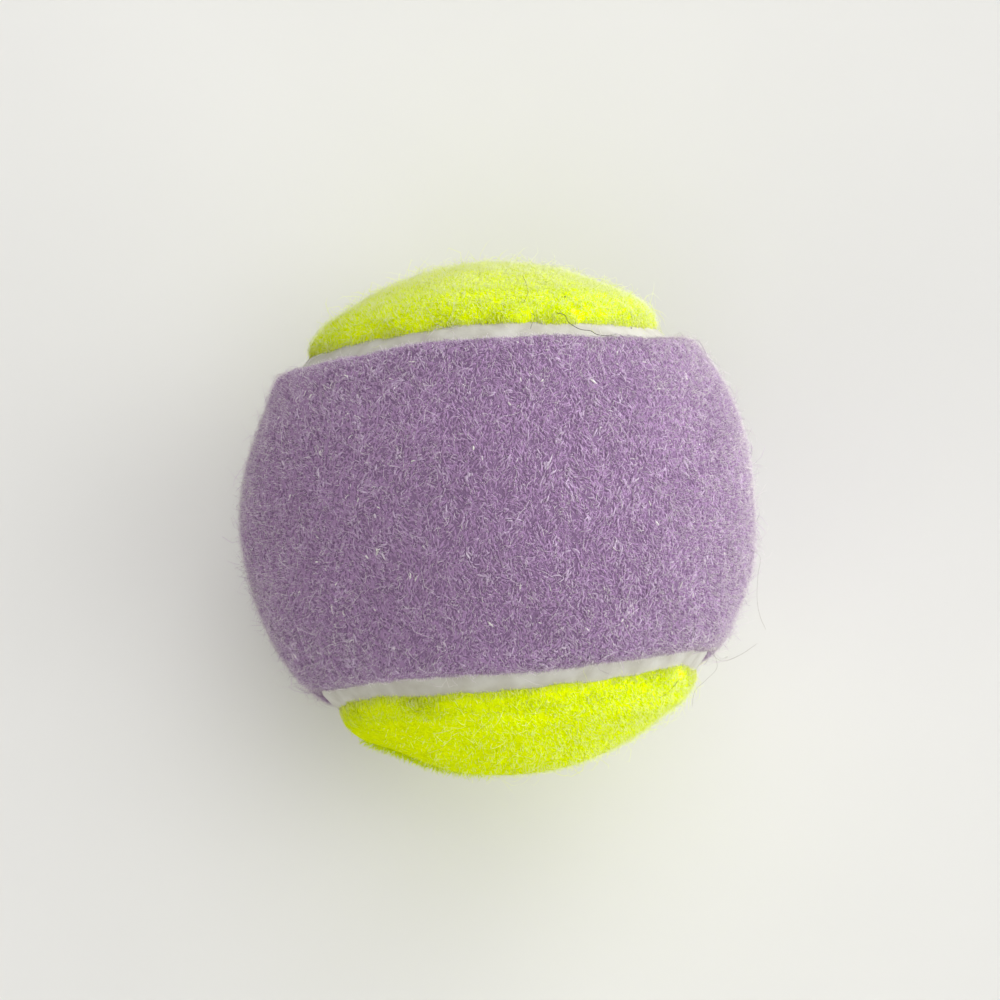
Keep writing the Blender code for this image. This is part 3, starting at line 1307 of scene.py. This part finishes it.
    def piece(self, name: str, skins: np.ndarray, shades: np.ndarray) -> Object:
        """Make one object of fibres.

        Args:
            name: the object's name.
            skins: the vertices of each fibre.
            shades: the shade of each fibre, from 0 to 1.

        Returns:
            The object, with its shades and its flat layout.
        """
        quads, tris, places = self.faces()
        count, size = skins.shape[:2]
        offset = (size * np.arange(count))[:, None, None]
        points = self.panel.felt.place(skins.reshape(-1, 3))
        obj = mesh_object(name, points, (quads + offset).reshape(-1, 4), (tris + offset).reshape(-1, 3))
        shade = obj.data.attributes.new(self.SHADE, "FLOAT", "POINT")
        grown = shades[:, None] * self.paling()
        shade.data.foreach_set("value", grown.astype(np.float32).ravel())

        across = math.ceil(math.sqrt(count))
        cell = np.stack([np.arange(count) % across, np.arange(count) // across], axis=-1)
        cells = (cell[:, None] + self.MARGIN + (1 - 2 * self.MARGIN) * places[None]) / across
        split = quads.size
        layout = np.concatenate([cells[:, :split].reshape(-1, 2), cells[:, split:].reshape(-1, 2)])
        uv = obj.data.uv_layers.new(name="OFBake")
        uv.data.foreach_set("uv", layout.astype(np.float32).ravel())
        return obj

    def build(self) -> list[Object]:
        """Build and dress the nap.

        Returns:
            Its pieces, in strips along the panel.
        """
        draw = np.random.default_rng(self.seed)
        skins, shades = [], []
        for sort in self.sorts:
            count = sort.count
            roots = self.roots(draw, sort, count)
            paths = self.paths(draw, sort, roots)
            skins.append(self.skins(paths, draw_sizes(draw, sort.width, count)))
            shades.append(self.shades(draw, sort, roots))
        skins = np.concatenate(skins)
        shades = np.clip(np.concatenate(shades), 0, 1)
        order = np.argsort(np.arctan2(skins[:, 0, 0], skins[:, 0, 2]), kind="stable")
        name = f"{self.panel.felt.value}_{self.name}"
        material = self.panel.finish.fibre_material(name.replace("_", " "), self.free)
        made = []
        for number, strip in enumerate(np.array_split(order, self.pieces), start=1):
            obj = self.piece(f"{name}_strip_{number}", skins[strip], shades[strip])
            obj.data.materials.append(material)
            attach(obj, BODY)
            made.append(obj)
        return made


@dataclass(frozen=True)
class Hair:
    """One loose hair or speck caught on the ball.

    Attributes:
        places: points along it, in millimetres from the ball's centre.
        width: its diameter, in millimetres.
    """

    places: tuple[Triple, ...]
    width: float


DARK_HAIRS = (
    Hair(
        ((5.48, 27.57, 18.41), (5.75, 25.90, 20.62), (5.75, 24.40, 22.38), (5.01, 22.80, 24.17)),
        width=0.045),
    Hair(
        ((5.74, 21.34, 25.31), (6.15, 20.86, 25.22), (5.73, 20.05, 25.32), (5.48, 19.42, 25.73)),
        width=0.045),
    Hair(
        ((8.71, 21.27, 24.44), (9.62, 21.00, 24.06), (9.90, 20.19, 24.22), (10.60, 19.63, 23.95),
         (11.37, 19.18, 23.96), (12.39, 19.00, 23.74), (13.05, 18.39, 24.28), (14.03, 18.13, 24.49),
         (15.41, 18.34, 23.49)),
        width=0.070),
    Hair(
        ((23.61, 5.01, 23.37), (25.07, 5.33, 21.73), (27.03, 6.11, 19.00), (29.52, 6.99, 14.44)),
        width=0.040),
    Hair(((10.00, 23.75, 21.66), (10.10, 23.65, 21.76)), width=0.14),
    Hair(((17.36, 19.45, 21.33), (17.40, 19.35, 21.40)), width=0.12),
    Hair(
        ((19.55, -21.75, 16.55), (18.79, -22.64, 16.23), (17.76, -23.49, 16.18), (16.57, -23.92, 16.80)),
        width=0.040),
)
FAINT_HAIRS = (
    Hair(
        ((29.90, -7.11, 12.96), (32.55, -8.21, 6.68), (32.08, -10.45, 6.58), (31.64, -13.32, 6.62),
         (31.71, -15.61, 6.92), (32.18, -17.41, 7.37)),
        width=0.035),
    Hair(
        ((23.58, -18.90, 14.12), (26.55, -20.84, 5.77), (28.77, -20.26, 6.47), (31.05, -18.94, 7.14)),
        width=0.040),
    Hair(
        ((24.24, -18.75, 13.16), (25.86, -21.54, 5.67), (24.33, -23.05, 5.49), (22.82, -24.31, 5.31),
         (22.19, -26.25, 5.61)),
        width=0.035),
)


@dataclass
class LooseHairs:
    """Single hairs that the ball has picked up or shed.

    Attributes:
        name: what they are called.
        hairs: each hair.
        colour: linear colour of all of them.
        felt: a felt of the ball; not used.
        sides: facets round a hair.
        steps: rings from one given point to the next.
        roughness: of a hair.
    """

    name: str
    hairs: tuple[Hair, ...]
    colour: Colour
    felt: Felt = Felt.PURPLE
    sides: int = 6
    steps: int = 8
    roughness: float = 0.5

    def path(self, hair: Hair) -> np.ndarray:
        """Lead a smooth curve through a hair's given points.

        Args:
            hair: the hair.

        Returns:
            Points along the curve.
        """
        given = np.array(hair.places) * MM
        given = np.concatenate([2 * given[:1] - given[1:2], given, 2 * given[-1:] - given[-2:-1]])
        share = np.linspace(0, 1, self.steps, endpoint=False)[:, None]
        parts = []
        for a, b, c, d in zip(given, given[1:], given[2:], given[3:]):
            bend = (2 * a - 5 * b + 4 * c - d) * share ** 2 + (3 * (b - c) + d - a) * share ** 3
            parts.append(b + ((c - a) * share + bend) / 2)
        return np.concatenate(parts + [given[-2:-1]])

    def tube(self, hair: Hair) -> tuple[np.ndarray, np.ndarray, np.ndarray]:
        """Wrap a round skin about a hair's curve, with both ends drawn to a point.

        Args:
            hair: the hair.

        Returns:
            Its vertices, its four-sided faces and its three-sided faces.
        """
        path = self.path(hair)
        along = unit(np.gradient(path, axis=0))
        aside = unit(np.cross(along, path))
        over = np.cross(along, aside)
        angle = math.tau * np.arange(self.sides) / self.sides
        ring = aside[:, None] * np.cos(angle)[:, None] + over[:, None] * np.sin(angle)[:, None]
        rings = path[1:-1, None] + ring[1:-1] * (hair.width * MM) / 2
        points = np.concatenate([rings.reshape(-1, 3), path[:1], path[-1:]])
        step = np.arange(self.sides)
        after = (step + 1) % self.sides
        root, tip = len(points) - 2, len(points) - 1
        last = (len(rings) - 1) * self.sides
        tris = np.concatenate([
            np.stack([np.full(self.sides, root), after, step], axis=-1),
            np.stack([np.full(self.sides, tip), last + step, last + after], axis=-1)])
        return points, grid_quads(len(rings), self.sides), tris

    def build(self) -> Object:
        """Build the hairs as one object and dress it.

        Returns:
            The object.
        """
        points, quads, tris, start = [], [], [], 0
        for hair in self.hairs:
            skin, fours, threes = self.tube(hair)
            points.append(skin)
            quads.append(fours + start)
            tris.append(threes + start)
            start += len(skin)
        obj = mesh_object(self.name, np.concatenate(points), np.concatenate(quads), np.concatenate(tris))
        shader = Shader(self.name.replace("_", " "))
        shader.set(Base_Color=(*self.colour, 1.0), Roughness=self.roughness)
        obj.data.materials.append(shader.material)
        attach(obj, BODY)
        return obj


@dataclass
class SeamRubber:
    """The ribbon of white rubber in the channel between the panels.

    Attributes:
        seam: its centre line.
        finish: its finish.
        crown: how far its middle stands above its sides.
        creep: how far it creeps up the felt at each side.
        bite: how far it reaches into the felt's edge at each side.
        uneven: how uneven its face is.
        steps: facets once round.
        rings: lines of vertices across its face.
        seed: of its unevenness.
    """

    seam: SeamLine
    finish: RubberFinish
    crown: float = 0.12 * MM
    creep: float = 0.25 * MM
    bite: float = 1.40 * MM
    uneven: float = 0.03 * MM
    steps: int = 1100
    rings: int = 17
    seed: int = 23

    # The shortest and longest waves of its unevenness.
    WAVES = (1.2 * MM, 9 * MM)

    def build(self) -> Object:
        """Build the ribbon and dress it.

        Returns:
            The ribbon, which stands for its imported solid.
        """
        low, high = node_radii("seam_ribbon")
        half = self.seam.edge + self.bite
        waves = Waves(self.seed, self.WAVES, self.uneven, 40)
        turns = self.seam.even_turns(self.steps)
        loops = [self.seam.beside(turns, inset, low) for inset in (half, -half)]
        for share in np.linspace(-1, 1, self.rings):
            rise = self.crown * (1 - share ** 2) + self.creep * share ** 8 - self.crown
            loop = self.seam.beside(turns, share * half, high + rise)
            loops.append(loop + unit(loop) * waves.at(loop)[:, None])
        loops.append(loops[0])
        ribbon = mesh_object("seam_rubber", np.concatenate(loops), grid_quads(len(loops), self.steps))
        weld(ribbon)
        ribbon.data.materials.append(self.finish.material("seam rubber"))
        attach(ribbon, BODY)
        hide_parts("seam_ribbon")
        return ribbon


@dataclass(frozen=True)
class PackedPieces:
    """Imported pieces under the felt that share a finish.

    Attributes:
        name: the finish's name.
        finish: the finish.
        nodes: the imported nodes.
    """

    name: str
    finish: RubberFinish
    nodes: tuple[str, ...]

    def dress(self) -> None:
        """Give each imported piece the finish."""
        material = self.finish.material(self.name)
        for node in self.nodes:
            materials = bpy.data.objects[node].data.materials
            materials.clear()
            materials.append(material)


INSIDE = (
    PackedPieces("core rubber", CORE_FINISH, ("core_half_upper", "core_half_lower")),
    PackedPieces(
        "dried solution", SOLUTION_FINISH, ("core_rim_bond", "purple_panel_coat", "yellow_panel_coat")),
)


@dataclass(frozen=True)
class SoftLamp:
    """A wide soft lamp, far enough away to light the whole floor alike.

    Attributes:
        name: what it is called.
        side: where it stands, in degrees from the front to the right.
        height: its height over the floor, in degrees.
        size: how wide it looks from the ball, in degrees.
        strength: its light on a surface that faces it, in watts per square metre.
        colour: linear colour of its light.
    """

    name: str
    side: float
    height: float
    size: float
    strength: float
    colour: Colour = (1.0, 1.0, 1.0)


@dataclass
class Studio:
    """A plain pale floor, soft light and the camera.

    Attributes:
        floor_colour: linear colour of the floor.
        floor_side: the side of the floor.
        floor_roughness: of the floor.
        dome_colour: colour of the light from all round.
        dome: strength of the light from all round.
        backdrop: what shows beyond the floor.
        lamps: the soft lamps.
        camera_side: where the camera stands, in degrees from the front to the right.
        camera_height: its height over the floor, in degrees.
        camera_reach: its distance from the ball's centre, in ball radii.
        outline: the ball's radius in the picture, as a share of the picture's side.
        aim: where the ball's centre lies in the picture, from its left and top.
    """

    floor_colour: Colour = (0.825, 0.821, 0.80)
    floor_side: float = 12.0
    floor_roughness: float = 0.85
    dome_colour: Colour = (1.0, 0.99, 0.965)
    dome: float = 0.05
    backdrop: Colour = (0.825, 0.82, 0.79)
    lamps: tuple[SoftLamp, ...] = (
        SoftLamp("high_front", side=0.0, height=58.0, size=40.0, strength=0.57),
        SoftLamp("high_right", side=90.0, height=58.0, size=40.0, strength=0.78),
        SoftLamp("high_back", side=164.0, height=58.0, size=40.0, strength=0.79),
        SoftLamp("high_left", side=300.0, height=50.0, size=50.0, strength=0.39, colour=(1.0, 0.98, 0.90)),
        SoftLamp("low_left", side=288.0, height=8.0, size=44.0, strength=0.72, colour=(1.0, 0.98, 0.90)),
        SoftLamp("low_front", side=65.0, height=10.0, size=40.0, strength=1.32),
        SoftLamp("low_right", side=102.0, height=10.0, size=40.0, strength=1.60),
        SoftLamp("low_back", side=145.0, height=10.0, size=40.0, strength=1.50),
    )
    camera_side: float = -5.3
    camera_height: float = 86.0
    camera_reach: float = 5.0
    outline: float = 0.2575
    aim: Span = (0.498, 0.520)

    # The size of the floor's faint clouds, and how bright it is in them.
    CLOUD = 40 * MM
    FAINT = 0.985
    # The nearest that the camera sees.
    NEAREST = 0.01

    @staticmethod
    def way(side: float, height: float) -> Vector:
        """Give the direction of a place round the ball, from degrees."""
        a, e = math.radians(side), math.radians(height)
        return Vector((math.sin(a) * math.cos(e), -math.cos(a) * math.cos(e), math.sin(e)))

    def build_floor(self) -> None:
        """Lay the floor that the ball rests on."""
        bpy.ops.mesh.primitive_plane_add(size=self.floor_side, location=(0, 0, -BALL_RADIUS))
        floor = bpy.context.object
        floor.name = "studio_floor"
        shader = Shader("studio floor")
        shader.set(Roughness=self.floor_roughness, Specular_IOR_Level=0.0)
        faint = tuple(self.FAINT * part for part in self.floor_colour)
        colour = shader.ramp(shader.noise(self.CLOUD), [(0.3, faint), (0.7, self.floor_colour)])
        shader.link(colour, "Base Color")
        floor.data.materials.append(shader.material)

    def build_dome(self) -> None:
        """Light the scene from all round, and show the pale backdrop beyond the floor."""
        world = bpy.data.worlds.new("studio dome")
        bpy.context.scene.world = world
        world.use_nodes = True
        tree = world.node_tree
        light = tree.nodes["Background"]
        light.inputs["Color"].default_value = (*self.dome_colour, 1)
        light.inputs["Strength"].default_value = self.dome
        seen = tree.nodes.new("ShaderNodeBackground")
        seen.inputs["Color"].default_value = (*self.backdrop, 1)
        rays = tree.nodes.new("ShaderNodeLightPath")
        total = rays.outputs["Is Camera Ray"]
        for name in ("Is Glossy Ray", "Is Transmission Ray"):
            either = tree.nodes.new("ShaderNodeMath")
            either.operation = "MAXIMUM"
            tree.links.new(total, either.inputs[0])
            tree.links.new(rays.outputs[name], either.inputs[1])
            total = either.outputs["Value"]
        mix = tree.nodes.new("ShaderNodeMixShader")
        tree.links.new(total, mix.inputs["Fac"])
        tree.links.new(light.outputs["Background"], mix.inputs[1])
        tree.links.new(seen.outputs["Background"], mix.inputs[2])
        tree.links.new(mix.outputs["Shader"], tree.nodes["World Output"].inputs["Surface"])

    def build_lamp(self, lamp: SoftLamp) -> None:
        """Hang one lamp.

        Args:
            lamp: where it stands and how strong it is.
        """
        data = bpy.data.lights.new(lamp.name, "SUN")
        data.energy = lamp.strength
        data.color = lamp.colour
        data.angle = math.radians(lamp.size)
        obj = bpy.data.objects.new(lamp.name, data)
        bpy.context.scene.collection.objects.link(obj)
        way = self.way(lamp.side, lamp.height)
        obj.location = way
        obj.rotation_mode = "QUATERNION"
        obj.rotation_quaternion = (-way).to_track_quat("-Z", "Y")

    def build_camera(self) -> None:
        """Stand the camera where the photograph was taken, nearly overhead."""
        data = bpy.data.cameras.new("camera")
        focal = self.outline * math.sqrt(self.camera_reach ** 2 - 1)
        data.lens = data.sensor_width * focal
        data.shift_x = 0.5 - self.aim[0]
        data.shift_y = self.aim[1] - 0.5
        data.clip_start = self.NEAREST
        camera = bpy.data.objects.new("camera", data)
        bpy.context.scene.collection.objects.link(camera)
        back = self.way(self.camera_side, self.camera_height)
        turn = (-back).to_track_quat("-Z", "Y").to_matrix().to_4x4()
        camera.matrix_world = Matrix.Translation(back * self.camera_reach * BALL_RADIUS) @ turn
        bpy.context.scene.camera = camera

    def build(self) -> None:
        """Set up the whole studio."""
        self.build_floor()
        self.build_dome()
        for lamp in self.lamps:
            self.build_lamp(lamp)
        self.build_camera()
        bpy.context.scene.view_settings.view_transform = "Standard"


def purple_felt(seam: SeamLine) -> tuple[FeltPanel, tuple[Nap, ...]]:
    """Describe the purple felt.

    Args:
        seam: the seam that bounds it.

    Returns:
        Its panel, and the nap and the fuzz that stand on it.
    """
    panel = FeltPanel(Felt.PURPLE, PURPLE_FINISH, seam, trims=PURPLE_TRIMS, bumps=PURPLE_BUMPS)
    nap = Nap(panel, "nap", PURPLE_NAP, seed=16)
    loose = Nap(
        panel, "fuzz", fuzz(laid=12000, standing=74000, fringe=0.5), lay=0.4, painted_glints=0.0,
        free=True, fuzz_side=(0.48, -0.26, -0.84), worn=0.60, seed=20)
    return panel, (nap, loose)


def yellow_felt(seam: SeamLine) -> tuple[FeltPanel, tuple[Nap, ...]]:
    """Describe the yellow felt.

    Args:
        seam: the seam that bounds it.

    Returns:
        Its panel, and the nap and the fuzz that stand on it.
    """
    panel = FeltPanel(
        Felt.YELLOW, YELLOW_FINISH, seam.turned(), edge_round=2.2 * MM, swell=0.45 * MM,
        swell_place=5.5 * MM, swell_reach=2.5 * MM, spread=0.25 * MM, slow_height=0.06 * MM,
        quick_height=0.015 * MM, trims=tuple(trim.turned() for trim in YELLOW_TRIMS),
        bumps=YELLOW_BUMPS, seed=37)
    # The yellow nap is painted paler toward +Y, as painted sheen.
    nap = Nap(
        panel, "nap", YELLOW_NAP, tuft_shade=0.04, tuft_height=0.02 * MM, painted_glints=0.0, painted_sheen=0.42,
        seed=42)
    # Its pale fuzz is put thickest toward +X and +Y, the side the strongest lamps light: painted light,
    # standing in for the lit haze there.
    loose = Nap(
        panel, "fuzz", fuzz(laid=3000, standing=63000, fringe=0.62), lay=0.4, painted_glints=0.0,
        free=True, fuzz_side=(0.70, 0.66, -0.2), worn=1.05, seed=46)
    return panel, (nap, loose)


def build_felt(panel: FeltPanel, naps: tuple[Nap, ...]) -> None:
    """Args:
        panel: its ground.
        naps: what stands on the ground.
    """
    ground = panel.build()
    nap = [piece for part in naps for piece in part.build()]
    width, length, area = panel.flat_cut()
    faces = sum(len(piece.data.polygons) for piece in nap)
    log.info("%s: %d faces, nap of %d faces", ground.name, len(ground.data.polygons), faces)


def main() -> None:
    """Build the ball's looks piece by piece, and the studio round it."""
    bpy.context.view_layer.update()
    studio = Studio()
    studio.build()
    log.info("studio: floor, dome, %d soft lamps and camera", len(studio.lamps))
    for pieces in INSIDE:
        pieces.dress()
        log.info("inside, %s: %s", pieces.name, ", ".join(pieces.nodes))
    seam = SeamLine(strays=STRAYS)
    ribbon = SeamRubber(seam, SEAM_FINISH).build()
    log.info("%s: %d faces", ribbon.name, len(ribbon.data.polygons))
    for panel, naps in (purple_felt(seam), yellow_felt(seam)):
        build_felt(panel, naps)
    LooseHairs("dark_loose_hairs", DARK_HAIRS, colour=(0.060, 0.055, 0.045)).build()
    LooseHairs("faint_loose_hairs", FAINT_HAIRS, colour=(0.36, 0.34, 0.30)).build()
    log.info("loose hairs: %d", len(DARK_HAIRS) + len(FAINT_HAIRS))
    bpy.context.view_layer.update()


if __name__ == "__main__":
    logging.basicConfig(level=logging.INFO, format="%(message)s")
    main()
